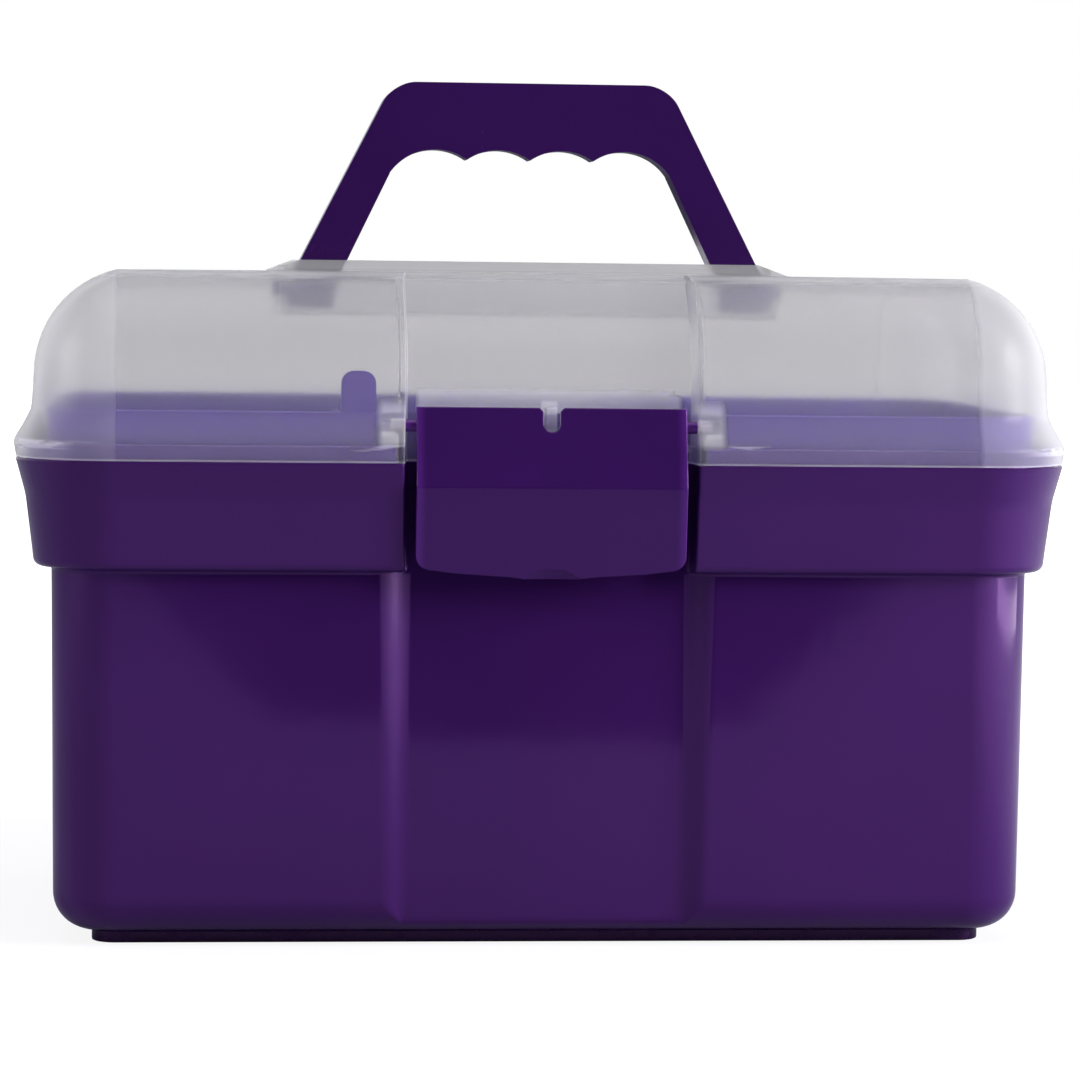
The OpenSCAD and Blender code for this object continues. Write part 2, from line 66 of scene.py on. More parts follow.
# %% Sizes of the box
HALF_W, HALF_D, RIM_R = 170.0, 103.0, 33.0
RIM_Z = 155.5
TUB_WALL, LID_WALL = 2.2, 2.0
FLOOR_Y, CHANNEL_IN = -86.8, 16.2
BODY_HALF, BODY_RUN = 45.6, 25.29
BAY_HALF, BAY_RUN = 45.6, 1.3
LID_Z = RIM_Z + 0.3
SHOULDER_Z, SHOULDER_R, SHOULDER_IN = 182.5, 34.0, 6.3
LID_TOP = 215.707
PLATFORM_Z, PIVOT_Z, WELL_Z = 219.407, 210.707, 203.107
WELL_X, WELL_FRONT, WELL_BACK = 82.1, -8.9, 70.6
HINGE_X, HINGE_Y, HINGE_Z = 85.0, 107.8, 155.65
LATCH_Y, LATCH_PIVOT_Z = -95.0, 167.5

# %% [markdown]
# ## A wall that runs round the box
# Tub, lid and tray are shells that follow the same rounded rectangle with a channel in its front.
# A circle of edges takes that outline, and is extruded from level to level up the outer face and down the inner
# one, so that both faces and the rim are one closed skin. The outline's points keep their order at every level.

# %% One level of the outline
CORNER_STEPS = 14
ROUND_STEPS = 4


def rounded(before, corner, after, cut):
    """Points that round a corner, which starts and ends at that distance from it."""
    start = corner + (before - corner).normalized() * cut
    end = corner + (after - corner).normalized() * cut
    steps = [k / ROUND_STEPS for k in range(ROUND_STEPS + 1)]
    return [start * (1 - t) ** 2 + corner * 2 * t * (1 - t) + end * t ** 2 for t in steps]


def outline(half_x, front, back, radius, floor=None, half=BAY_HALF, run=BAY_RUN, edge=1.2):
    """A rounded rectangle seen from above, with a channel in its front where floor lies behind that front."""
    points = []
    for side_x, y, turn in ((1, front, -90), (1, back, 0), (-1, back, 90), (-1, front, 180)):
        side_y = 1 if y == back else -1
        centre = Vector((side_x * (half_x - radius), y - side_y * radius))
        for k in range(CORNER_STEPS + 1):
            angle = math.radians(turn + 90 * k / CORNER_STEPS)
            points.append(centre + radius * Vector((math.cos(angle), math.sin(angle))))
    depth = max(floor - front, 0.0) if floor is not None else 0.0
    mouth = half + max(run * depth / CHANNEL_IN, 0.6 - depth)
    cut = min(edge, 0.4 * math.hypot(mouth - half, depth))
    far, lip, foot = Vector((-half_x, front)), Vector((-mouth, front)), Vector((-half, front + depth))
    left = rounded(far, lip, foot, cut) + rounded(lip, foot, Vector((0, front + depth)), cut)
    points += left + [Vector((-p.x, p.y)) for p in reversed(left)]
    return points


def level(inset, z, **channel):
    """One level of a wall that follows the lip's outline at an inset."""
    flat = outline(HALF_W - inset, inset - HALF_D, HALF_D - inset, max(RIM_R - inset, 0.4), **channel)
    return [Vector((p.x, p.y, z)) for p in flat]


print("points in each level:", len(level(0, 0)))

# %% Extrude a skin through its levels
def skin(levels):
    """A closed shell: one loop of edges is extruded through the levels, and its two ends are filled."""
    shape = bmesh.new()
    loop = bmesh.ops.create_circle(shape, segments=len(levels[0]), radius=1)["verts"]
    for vertex, point in zip(loop, levels[0]):
        vertex.co = point * MM
    edges = shape.edges[:]
    ends = [edges]
    for points in levels[1:]:
        grown = bmesh.ops.extrude_edge_only(shape, edges=edges)["geom"]
        new = {part for part in grown if isinstance(part, bmesh.types.BMVert)}
        loop = [next(w for w in (e.other_vert(v) for e in v.link_edges) if w in new) for v in loop]
        for vertex, point in zip(loop, points):
            vertex.co = point * MM
        edges = [e for e in grown if isinstance(e, bmesh.types.BMEdge) and set(e.verts) <= new]
    ends.append(edges)
    for end in ends:
        bmesh.ops.contextual_create(shape, geom=end)
    bmesh.ops.remove_doubles(shape, verts=shape.verts[:], dist=1e-6)
    bmesh.ops.dissolve_degenerate(shape, dist=1e-6, edges=shape.edges[:])
    bmesh.ops.recalc_face_normals(shape, faces=shape.faces[:])
    return shape


def piece_from(shape, name):
    """Turns a bmesh into an object at the origin."""
    mesh = bpy.data.meshes.new(name)
    shape.to_mesh(mesh)
    shape.free()
    piece = bpy.data.objects.new(name, mesh)
    bpy.context.scene.collection.objects.link(piece)
    return piece


# %% [markdown]
# ## Small forms
# Bosses, knuckles and bores are turned forms, so they come from a spun profile. Ribs and gussets are short prisms.
# Booleans weld them to the shells, because a see-through lid would show every face that is left inside it.
# A weld needs closed forms, so a rod's doubled points on its axis are merged.

# %% Turned forms and prisms
SPIN_STEPS = 40
MERGE = 2e-6


def soften(shape, edges, radius, segments):
    """Rounds some edges of a shape."""
    bmesh.ops.bevel(shape, geom=edges, offset=radius * MM, offset_type="OFFSET", segments=segments, profile=0.5,
                    affect="EDGES", clamp_overlap=True, material=-1)


def tube(shape, outer, inner, start, end, y, z, edge=0.3):
    """A tube or rod along X: its half section is spun round the axis."""
    section = [(start, inner), (start, outer - edge), (start + edge, outer), (end - edge, outer), (end, outer - edge),
               (end, inner)]
    verts = [shape.verts.new(Vector((x, y, z + r)) * MM) for x, r in section]
    edges = [shape.edges.new(pair) for pair in zip(verts, verts[1:])]
    if inner > 0:
        edges.append(shape.edges.new((verts[-1], verts[0])))
    before = set(shape.verts) - set(verts)
    bmesh.ops.spin(shape, geom=verts + edges, cent=Vector((0, y, z)) * MM, axis=(1, 0, 0), angle=math.tau,
                   steps=SPIN_STEPS, use_merge=True)
    made = [v for v in shape.verts if v not in before]
    bmesh.ops.remove_doubles(shape, verts=made, dist=MERGE)
    faces = [f for f in shape.faces if not before.intersection(f.verts)]
    bmesh.ops.recalc_face_normals(shape, faces=faces)


def prism(shape, points, move, edge=0.0):
    """A flat outline that is extruded by a move, with its edges bevelled."""
    verts = [shape.verts.new(Vector(p) * MM) for p in points]
    rim = [shape.edges.new(pair) for pair in zip(verts, verts[1:] + verts[:1])]
    face = bmesh.ops.contextual_create(shape, geom=rim)["faces"][0]
    grown = bmesh.ops.extrude_face_region(shape, geom=[face], use_keep_orig=True)["geom"]
    tops = [v for v in grown if isinstance(v, bmesh.types.BMVert)]
    bmesh.ops.translate(shape, verts=tops, vec=Vector(move) * MM)
    mine = set(verts + tops)
    faces = [f for f in shape.faces if mine.issuperset(f.verts)]
    bmesh.ops.recalc_face_normals(shape, faces=faces)
    if edge:
        soften(shape, [e for e in shape.edges if mine.issuperset(e.verts)], edge, 2)


def span(side, near, far):
    """Start and end of a form that lies on one side of the middle."""
    return sorted((side * near, side * far))


print("turned forms have", SPIN_STEPS, "sides")

# %% Welding and smooth shading
def baked(piece):
    """Applies the piece's modifiers to its mesh."""
    seen = piece.evaluated_get(bpy.context.evaluated_depsgraph_get())
    mesh = bpy.data.meshes.new_from_object(seen)
    piece.modifiers.clear()
    piece.data = mesh


def weld(piece, how, tool):
    """Adds a tool to a piece, or cuts it away."""
    cutter = piece_from(tool, "tool")
    join = piece.modifiers.new("Weld", "BOOLEAN")
    join.operation, join.solver, join.object = how, "EXACT", cutter
    baked(piece)
    bpy.data.objects.remove(cutter)


def smooth(piece, angle=34):
    """Shades the piece smooth, except over sharp edges, and lets its large flat faces stay flat."""
    piece.data.polygons.foreach_set("use_smooth", [True] * len(piece.data.polygons))
    piece.data.set_sharp_from_angle(angle=math.radians(angle))
    flat = piece.modifiers.new("Flat faces", "WEIGHTED_NORMAL")
    flat.keep_sharp, flat.weight = True, 80
    print(piece.name, "has", len(piece.data.polygons), "faces")


# %% [markdown]
# ## The tub
# The tub stands on a low foot. Its wall rises with a slight draft to a wide collar that flares out to the rim,
# and a thin tongue inside the rim locates the lid. The channel in its front widens to a bay in the collar.

# %% The tub's skin
def body_channel(grow=0.0):
    return {"floor": FLOOR_Y + grow, "half": BODY_HALF + grow, "run": BODY_RUN, "edge": 3.5}


def bay_channel(grow=0.0):
    return {"floor": FLOOR_Y + grow, "half": BAY_HALF + grow, "run": BAY_RUN, "edge": 1.0}


def arc(centre_inset, centre_z, radius, start, end, steps):
    """Stations of a curve; at 0 degrees the curve is at its lowest, and at 90 it is outermost."""
    turns = [math.radians(start + (end - start) * k / steps) for k in range(steps + 1)]
    return [(centre_inset - radius * math.sin(t), centre_z - radius * math.cos(t)) for t in turns]


tub_levels = [level(26.1, 0), level(25.6, 0.25), level(25.5, 0.8), level(25.5, 3.6)]
tub_levels += [level(i, z, **body_channel()) for i, z in arc(25.0, 16.0, 12.0, 0, 90, 12)]
tub_levels += [level(i, z, **body_channel()) for i, z in ((12.6, 60), (12.1, 119.6), (11.9, 120.4))]
tub_levels += [level(i, z, **bay_channel()) for i, z in ((11.2, 120.8), (10.4, 120.95), (8.9, 121.0))]
tub_levels += [level(i, z, **bay_channel()) for i, z in arc(8.9, 123.7, 2.7, 18, 90, 4)]
tub_levels += [level(i, z, **bay_channel()) for i, z in ((5.9, 126.5), (4.05, 141.4), (3.75, 143.4), (3.3, 145.4),
                                                         (1.0, 153.8), (0.55, 155.1), (0.75, RIM_Z))]
tongue = bay_channel(TUB_WALL - 0.2)
tub_levels += [level(i, z, **tongue) for i, z in ((2.9, RIM_Z), (3.0, 155.7), (3.0, 160.6), (3.35, 161.0))]
tongue = bay_channel(TUB_WALL)
tub_levels += [level(i, z, **tongue) for i, z in ((4.45, 161.0), (4.8, 160.6), (4.8, RIM_Z), (5.9, 144.0),
                                                  (8.4, 123.4), (8.6, 123.2))]
inside = body_channel(TUB_WALL)
tub_levels += [level(i, z, **inside) for i, z in ((14.0, 123.1), (14.3, 122.8), (15.2, 16.0))]
tub_levels += [level(i, z, **inside) for i, z in reversed(arc(25.0, 16.0, 9.8, 0, 85, 10))]
tub_levels += [level(27.7, 6.2), level(27.7, 2.2)]

# The tongue stops short of the bay, so its points there stay at the rim.
for points in tub_levels:
    for p in points:
        if p.z > RIM_Z and p.y < 0 and abs(p.x) < BAY_HALF + BAY_RUN + TUB_WALL:
            p.z = RIM_Z
tub = piece_from(skin(tub_levels), "tub_shell")

# %% Catch rib and hinge knuckles of the tub
RIB_HALF, RIB_ROOT, RIB_FRONT, RIB_LOW, RIB_HIGH = 30, FLOOR_Y + 0.5, FLOOR_Y - 5, 129.5, 132.5
KNUCKLE_R, PIN_BORE_R, KNUCKLE_W = 4.2, 2.05, 12
KNUCKLE_STARTS = [middle + offset for middle in (-HINGE_X, HINGE_X) for offset in (-20.4, 8.4)]
forms = bmesh.new()
prism(forms, [(-RIB_HALF, RIB_ROOT, RIB_LOW), (-RIB_HALF, RIB_FRONT, RIB_LOW), (-RIB_HALF, RIB_FRONT, RIB_HIGH),
              (-RIB_HALF, RIB_ROOT, RIB_HIGH)], (2 * RIB_HALF, 0, 0), 0.4)
for start in KNUCKLE_STARTS:
    tube(forms, KNUCKLE_R, PIN_BORE_R, start, start + KNUCKLE_W, HINGE_Y, HINGE_Z)
weld(tub, "UNION", forms)
forms = bmesh.new()
for start in KNUCKLE_STARTS:
    prism(forms, [(start, HINGE_Y - 2.2, HINGE_Z - 3.5), (start, HINGE_Y - 2.2, RIM_Z), (start, 99.5, RIM_Z),
                  (start, 99.5, RIM_Z - 11)], (KNUCKLE_W, 0, 0), 0.3)
weld(tub, "UNION", forms)
smooth(tub)

# %% [markdown]
# ## The lid
# The lid has a lip that overlaps the tub's tongue, a rounded shoulder and a raised platform round a well.
# The handle stands in the well and folds back into it. The channel runs up the front and leans back at its top.
# A level near the well follows the shoulder's height at each point, because the well reaches onto the back slope.

# %% Heights of the lid's faces
def shoulder_height(x, y, wall):
    """Height of the lid's outer face, or of its inner one under a wall, over a point seen from above."""
    reach = math.hypot(max(abs(x) - (HALF_W - RIM_R), 0), max(abs(y) - (HALF_D - RIM_R), 0))
    across = SHOULDER_IN + SHOULDER_R - RIM_R + reach
    return SHOULDER_Z + math.sqrt(max((SHOULDER_R - wall) ** 2 - across ** 2, 0))


LEAN_RISE, LEAN_RUN, LEAN_BEND = 22, 22.8, 9


def lid_channel(z, grow=0.0):
    """The channel at a height: its floor is upright, and then curves and leans back to the lid's top."""
    rise = z - (LID_TOP - LEAN_RISE - 0.4 * grow)
    lean = (rise if rise > LEAN_BEND else max(rise + LEAN_BEND, 0) ** 2 / (4 * LEAN_BEND)) * LEAN_RUN / LEAN_RISE
    return {"floor": FLOOR_Y + grow + lean, "half": BAY_HALF + grow, "run": BAY_RUN, "edge": 1.0 + 0.4 * grow}


def crown(half_x, front, back, radius, wall, drop=0.0):
    """A level that lies on the lid's rounded top, above or under its wall."""
    flat = outline(half_x, front, back, radius)
    return [Vector((p.x, p.y, shoulder_height(p.x, p.y, wall) - drop)) for p in flat]


def flat_level(half_x, front, back, radius, z):
    return [Vector((p.x, p.y, z)) for p in outline(half_x, front, back, radius)]


BEHIND_WELL, SHOULDER_STEPS = 79.0, 16


def shoulder(wall, insets):
    """Levels up the shoulder. The back stays behind the well, and each point keeps to the rounded face."""
    levels = []
    for inset in insets:
        z = shoulder_height(0, -(HALF_D - inset), wall)
        back = max(HALF_D - inset, BEHIND_WELL)
        flat = outline(HALF_W - inset, inset - HALF_D, back, max(RIM_R - inset, 0.5), **lid_channel(z, wall))
        points = [Vector((p.x, p.y, shoulder_height(p.x, p.y, wall) if p.y > 0 else z)) for p in flat]
        levels.append(points)
    return levels


def shoulder_insets(wall):
    last = math.acos((SHOULDER_IN + SHOULDER_R - RIM_R + 0.5) / (SHOULDER_R - wall))
    turns = [last * k / SHOULDER_STEPS for k in range(SHOULDER_STEPS + 1)]
    return [SHOULDER_IN + SHOULDER_R - (SHOULDER_R - wall) * math.cos(t) for t in turns]


# %% The lid's skin
under = [flat_level(83.6, WELL_FRONT - 1.5, WELL_BACK + 1.5, 1.5, WELL_Z - LID_WALL),
         flat_level(84.1, WELL_FRONT - 2, WELL_BACK + 2, 2, WELL_Z - LID_WALL + 0.5),
         crown(84.1, WELL_FRONT - 2, WELL_BACK + 2, 2, LID_WALL, 0.6),
         crown(84.8, WELL_FRONT - 2.7, WELL_BACK + 2.7, 2.4, LID_WALL, 0.0)]
under += reversed(shoulder(LID_WALL, shoulder_insets(LID_WALL)))
under += [level(i, z, **lid_channel(z, LID_WALL)) for i, z in ((7.6, 171.5), (7.0, 170.0), (4.52, 165.45),
                                                               (2.5, 161.4), (2.2, 160.7), (2.2, 156.1), (2.0, LID_Z))]
over = [level(i, z, **lid_channel(z)) for i, z in ((0.95, LID_Z), (0.7, 156.1), (0.25, 158.6), (0.05, 160.0),
                                                   (0.05, 160.8), (0.4, 162.0), (2.5, 165.5), (4.4, 169.0),
                                                   (5.25, 170.8), (5.6, 172.6))]
over += shoulder(0.0, shoulder_insets(0.0))
over += [crown(88.0, WELL_FRONT - 5.9, 77.0, 3.2, 0.0), crown(86.9, WELL_FRONT - 4.8, WELL_BACK + 4.8, 2.8, 0.0, -0.4)]
over += [flat_level(84.4, WELL_FRONT - 2.3, WELL_BACK + 2.3, 2.2, PLATFORM_Z - 0.5),
         flat_level(83.8, WELL_FRONT - 1.7, WELL_BACK + 1.7, 1.9, PLATFORM_Z),
         flat_level(82.4, WELL_FRONT - 0.3, WELL_BACK + 0.3, 1.2, PLATFORM_Z),
         flat_level(WELL_X, WELL_FRONT, WELL_BACK, 1.0, PLATFORM_Z - 0.4),
         flat_level(WELL_X, WELL_FRONT, WELL_BACK, 1.0, WELL_Z + 0.5),
         flat_level(WELL_X - 0.4, WELL_FRONT + 0.4, WELL_BACK - 0.4, 0.8, WELL_Z)]
lid = piece_from(skin(under + over), "lid_shell")

# %% Slopes at the platform's ends
SLOPE_TOP, SLOPE_FOOT, SLOPE_END, SLOPE_FRONT, SLOPE_RUN = 77.1, 86.8, 95, -20, 100
forms = bmesh.new()
for side in (-1, 1):
    wedge = ((SLOPE_TOP, PLATFORM_Z + 0.1), (SLOPE_FOOT, LID_TOP + 0.1), (SLOPE_END, LID_TOP + 0.1),
             (SLOPE_END, PLATFORM_Z + 3), (SLOPE_TOP, PLATFORM_Z + 3))
    prism(forms, [(side * x, SLOPE_FRONT, z) for x, z in wedge], (0, SLOPE_RUN, 0))
weld(lid, "DIFFERENCE", forms)
print("the lid's shell has", len(lid.data.polygons), "faces before its bosses")

# %% Bosses, lug and knuckles of the lid
BAY_WALL = BAY_HALF + BAY_RUN
HANDLE_BOSS_R, LATCH_BOSS_R = 4.4, 4.0
LUG_HALF, LUG_LOW, LUG_HIGH = 1.6, 166.9, 173.5
MOVING_HALF, GUSSET_LOW, GUSSET_ROOT = 8, 156.1, 101.4
forms = bmesh.new()
for side in (-1, 1):
    tube(forms, HANDLE_BOSS_R, 0, *span(side, WELL_X + 0.8, WELL_X + 4.2), 0, PIVOT_Z)
    tube(forms, LATCH_BOSS_R, 0, *span(side, BAY_WALL - 0.3, BAY_WALL + 7), LATCH_Y, LATCH_PIVOT_Z)
lug_face = ((-LUG_HALF, LUG_LOW), (LUG_HALF, LUG_LOW), (LUG_HALF, LUG_HIGH), (-LUG_HALF, LUG_HIGH))
prism(forms, [(x, LATCH_Y, z) for x, z in lug_face], (0, FLOOR_Y - LATCH_Y + 0.6, 0), 0.4)
weld(lid, "UNION", forms)
forms = bmesh.new()
gusset = ((HINGE_Y - 1.5, GUSSET_LOW), (HINGE_Y - 1.5, HINGE_Z + 3.9), (GUSSET_ROOT, 160.9), (GUSSET_ROOT, GUSSET_LOW))
for middle in (-HINGE_X, HINGE_X):
    prism(forms, [(middle - MOVING_HALF, y, z) for y, z in gusset], (2 * MOVING_HALF, 0, 0), 0.3)
weld(lid, "UNION", forms)
forms = bmesh.new()
for middle in (-HINGE_X, HINGE_X):
    tube(forms, KNUCKLE_R, 0, middle - MOVING_HALF, middle + MOVING_HALF, HINGE_Y, HINGE_Z)
weld(lid, "UNION", forms)

# %% Bores of the lid
# All bores are cut in one weld, because cut one by one they left open edges.
HANDLE_BORE_R, LATCH_BORE_R, BORE_EDGE = 2.55, 2.05, 0.01
forms = bmesh.new()
for side in (-1, 1):
    tube(forms, HANDLE_BORE_R, 0, *span(side, WELL_X - 2, WELL_X + 4.6), 0, PIVOT_Z, BORE_EDGE)
    tube(forms, LATCH_BORE_R, 0, *span(side, BAY_HALF - 3, BAY_WALL + 4), LATCH_Y, LATCH_PIVOT_Z, BORE_EDGE)
    tube(forms, PIN_BORE_R, 0, side * HINGE_X - 9, side * HINGE_X + 9, HINGE_Y, HINGE_Z, BORE_EDGE)
weld(lid, "DIFFERENCE", forms)
smooth(lid)

# %% [markdown]
# ## The handle
# The handle is a thick plate with two straight legs and four finger scallops under its grip. Its outline has few
# corners, so those are bevelled, and four cylinders cut the scallops. A Bevel modifier softens every edge.

# %% The handle's plate
HANDLE_TOP, HANDLE_FOOT, HANDLE_HALF_T = 279.407, PIVOT_Z - 7, 7
TOP_HALF, LEG_OUT, LEG_IN = 46.4, 81.5, 65.6
GRIP_HALF, GRIP_Z = 47.2, 249.0
right = [(TOP_HALF, HANDLE_TOP), (LEG_OUT, PIVOT_Z), (LEG_OUT, HANDLE_FOOT), (LEG_IN, HANDLE_FOOT), (LEG_IN, PIVOT_Z),
         (GRIP_HALF, GRIP_Z)]
corners = [(-TOP_HALF, HANDLE_TOP)] + right + [(-x, z) for x, z in reversed(right[1:])]
shape = bmesh.new()
prism(shape, [(x, HANDLE_HALF_T, z) for x, z in corners], (0, -2 * HANDLE_HALF_T, 0))
upper = [e for e in shape.edges if abs(e.verts[0].co.x - e.verts[1].co.x) < 1e-6 and
         abs(e.verts[0].co.z - e.verts[1].co.z) < 1e-6 and e.verts[0].co.z > (HANDLE_TOP - 0.4) * MM]
soften(shape, upper, 7.73, 12)
feet = [e for e in shape.edges if max(v.co.z for v in e.verts) < (HANDLE_FOOT + 0.01) * MM and
        abs(e.verts[0].co.y - e.verts[1].co.y) < 1e-6]
soften(shape, feet, 6.95, 8)
handle = piece_from(shape, "carry_handle")
print("the handle is", 2 * LEG_OUT, "mm wide at its legs")

# %% Finger scallops
FINGER_PITCH, FINGER_R, FINGER_Z = 21.3, 18.8, 238.107
for k in (-1.5, -0.5, 0.5, 1.5):
    forms = bmesh.new()
    finger = bmesh.ops.create_cone(forms, segments=96, radius1=FINGER_R * MM, radius2=FINGER_R * MM, depth=0.04,
                                   cap_ends=True)
    turn = Matrix.Translation(Vector((k * FINGER_PITCH, 0, FINGER_Z)) * MM) @ Matrix.Rotation(math.radians(90), 4, "X")
    bmesh.ops.transform(forms, matrix=turn, verts=finger["verts"])
    cut = bmesh.ops.bisect_plane(forms, geom=forms.verts[:] + forms.edges[:] + forms.faces[:], dist=1e-7,
                                 plane_co=(0, 0, (GRIP_Z - 0.2) * MM), plane_no=(0, 0, 1), clear_inner=True)
    bmesh.ops.contextual_create(forms, geom=[e for e in cut["geom_cut"] if isinstance(e, bmesh.types.BMEdge)])
    bmesh.ops.recalc_face_normals(forms, faces=forms.faces[:])
    weld(handle, "DIFFERENCE", forms)

# %% Soft edges and trunnions
soft = handle.modifiers.new("Edges", "BEVEL")
soft.width, soft.segments, soft.limit_method, soft.angle_limit = 1.1 * MM, 3, "ANGLE", math.radians(50)
baked(handle)
TRUNNION_R, TRUNNION_END = 2.5, 85.7
forms = bmesh.new()
for side in (-1, 1):
    tube(forms, TRUNNION_R, 0, *span(side, LEG_OUT - 1.0, TRUNNION_END), 0, PIVOT_Z)
weld(handle, "UNION", forms)
smooth(handle, 45)

# %% [markdown]
# ## The latch
# The latch is a thin plate with a crease across it and a bowed lower edge, and hangs from two stubs at its top.
# Its outline is extruded, cut at the crease and leaned, and a notch in its top edge shows a lug of the lid.
# A barrel stiffens its top, a bead behind it meets the catch rib, and a ball cuts the thumb scoop below.

# %% The latch's plate
LATCH_HALF, LATCH_TOP, LATCH_LOW = 43, 173.5, 122.5
NOTCH_HALF, NOTCH_MOUTH, NOTCH_Z, NOTCH_EDGE = 2.7, 4, 165.8, 172.2
CREASE_Z = 148.5
bow = [(LATCH_HALF, LATCH_LOW), (30, 120.9), (14, 119.9), (9, 119.3)]
corners = [(-LATCH_HALF, LATCH_TOP), (-NOTCH_MOUTH, LATCH_TOP), (-NOTCH_HALF, NOTCH_EDGE), (-NOTCH_HALF, NOTCH_Z),
           (NOTCH_HALF, NOTCH_Z), (NOTCH_HALF, NOTCH_EDGE), (NOTCH_MOUTH, LATCH_TOP), (LATCH_HALF, LATCH_TOP)]
corners += bow + [(-x, z) for x, z in reversed(bow)]
shape = bmesh.new()
prism(shape, [(x, -100, z) for x, z in corners], (0, -3, 0))
through = [e for e in shape.edges if abs(e.verts[0].co.y - e.verts[1].co.y) > 0.002]
low_corners = [e for e in through if abs(e.verts[0].co.x) > 0.042 and e.verts[0].co.z < 0.123]
notch_corners = [e for e in through if abs(e.verts[0].co.x) < 0.003 and e.verts[0].co.z < 0.166]
soften(shape, low_corners, 4, 6)
soften(shape, notch_corners, 2.6, 6)
bmesh.ops.bisect_plane(shape, geom=shape.verts[:] + shape.edges[:] + shape.faces[:], dist=1e-6,
                       plane_co=(0, 0, CREASE_Z * MM), plane_no=(0, 0, 1))
for v in shape.verts:
    z = v.co.z / MM
    v.co.y += MM * (6.5 * (z - CREASE_Z) / 25 if z > CREASE_Z else 3.4 * (CREASE_Z - z) / 29.6)
latch = piece_from(shape, "latch_plate")
soft = latch.modifiers.new("Edges", "BEVEL")
soft.width, soft.segments, soft.limit_method, soft.angle_limit = 1.4 * MM, 4, "ANGLE", math.radians(13)
baked(latch)
print("the latch is", 2 * LATCH_HALF, "mm wide")

# %% Barrel, stubs, bead and thumb scoop of the latch
BARREL_R, STUB_R = 2.8, 2.0
BEAD_ROOT, BEAD_BACK, BEAD_LOW, BEAD_HIGH = -99.6, -92.2, 126.1, 129.1
SCOOP_R, SCOOP_CENTRE = 34, (0, -127.9, 103.4)
for radius, near, far in ((BARREL_R, 3.0, 42.4), (STUB_R, 41, 50)):
    forms = bmesh.new()
    for side in (-1, 1):
        tube(forms, radius, 0, *span(side, near, far), LATCH_Y, LATCH_PIVOT_Z)
    weld(latch, "UNION", forms)
forms = bmesh.new()
prism(forms, [(-RIB_HALF, BEAD_ROOT, BEAD_LOW), (-RIB_HALF, BEAD_BACK, BEAD_LOW), (-RIB_HALF, BEAD_BACK, BEAD_HIGH),
              (-RIB_HALF, BEAD_ROOT, BEAD_HIGH)], (2 * RIB_HALF, 0, 0), 0.4)
weld(latch, "UNION", forms)
forms = bmesh.new()
ball = bmesh.ops.create_uvsphere(forms, u_segments=160, v_segments=80, radius=SCOOP_R * MM)["verts"]
bmesh.ops.translate(forms, verts=ball, vec=Vector(SCOOP_CENTRE) * MM)
weld(latch, "DIFFERENCE", forms)
smooth(latch, 45)

# %% [markdown]
# ## The tray
# The tray stands on a ledge inside the collar and shows through the lid. It is a shell of the same kind, with a
# notch that clears the channel, two dividers, and a tab by which it is lifted.

# %% The tray's skin
def notch(grow=0.0):
    return {"floor": -83.0 + grow, "half": 55.0 + grow, "run": 0.4, "edge": 2.0}


TRAY_WALL = 1.8
tray_levels = [level(i, z, **notch()) for i, z in ((12.3, 123.5), (11.6, 124.1), (10.2, 170.0), (10.0, 170.6),
                                                   (10.05, 171.2), (10.4, 171.5))]
tray_levels += [level(i, z, **notch(TRAY_WALL)) for i, z in ((11.5, 171.5), (11.8, 171.2), (13.0, 126.6),
                                                             (13.6, 125.6), (14.8, 125.3))]
tray = piece_from(skin(tray_levels), "lift_out_tray")
print("the tray's shell has", len(tray.data.polygons), "faces")

# %% Dividers and lifting tab of the tray
DIVIDER_X, DIVIDER_HALF_T = 61, 0.9
TAB_LEFT, TAB_RIGHT, TAB_FRONT, TAB_T, TAB_FOOT, TAB_TOP, TAB_R = -66.5, -55.5, -91.7, 3.6, 125.0, 184.5, 4
divider = ((-90.2, 124.8), (90.2, 124.8), (90.8, 165.5), (-90.8, 165.5))
forms = bmesh.new()
for side in (-1, 1):
    prism(forms, [(side * DIVIDER_X - DIVIDER_HALF_T, y, z) for y, z in divider], (2 * DIVIDER_HALF_T, 0, 0), 0.3)
weld(tray, "UNION", forms)
forms = bmesh.new()
prism(forms, [(TAB_LEFT, TAB_FRONT, TAB_FOOT), (TAB_RIGHT, TAB_FRONT, TAB_FOOT), (TAB_RIGHT, TAB_FRONT, TAB_TOP),
              (TAB_LEFT, TAB_FRONT, TAB_TOP)], (0, TAB_T, 0))
tops = [e for e in forms.edges if e.verts[0].co.z > 0.18 and abs(e.verts[0].co.y - e.verts[1].co.y) > 0.002]
soften(forms, tops, TAB_R, 6)
weld(tray, "UNION", forms)
smooth(tray)

# %% [markdown]
# ## Writing shaders as expressions
# A small class wraps a socket, so that maths on patterns reads as plain Python. Colours go through Mix nodes.

# %% A socket with operators
class Wire:
    def __init__(self, finish, socket):
        self.finish, self.socket = finish, socket

    def maths(self, operation, first, second):
        return self.finish.node("ShaderNodeMath", {"operation": operation}, {0: first, 1: second})

    def __add__(self, other):
        return self.maths("ADD", self, other)

    def __sub__(self, other):
        return self.maths("SUBTRACT", self, other)

    def __rsub__(self, other):
        return self.maths("SUBTRACT", other, self)

    def __mul__(self, other):
        return self.maths("MULTIPLY", self, other)

    __radd__, __rmul__ = __add__, __mul__

    def __abs__(self):
        return self.finish.node("ShaderNodeMath", {"operation": "ABSOLUTE"}, {0: self})

    def between(self, low, high):
        """0 below low, 1 above high, and smooth between them."""
        return self.finish.node("ShaderNodeMapRange", {"interpolation_type": "SMOOTHSTEP"},
                                {"Value": self, "From Min": low, "From Max": high})


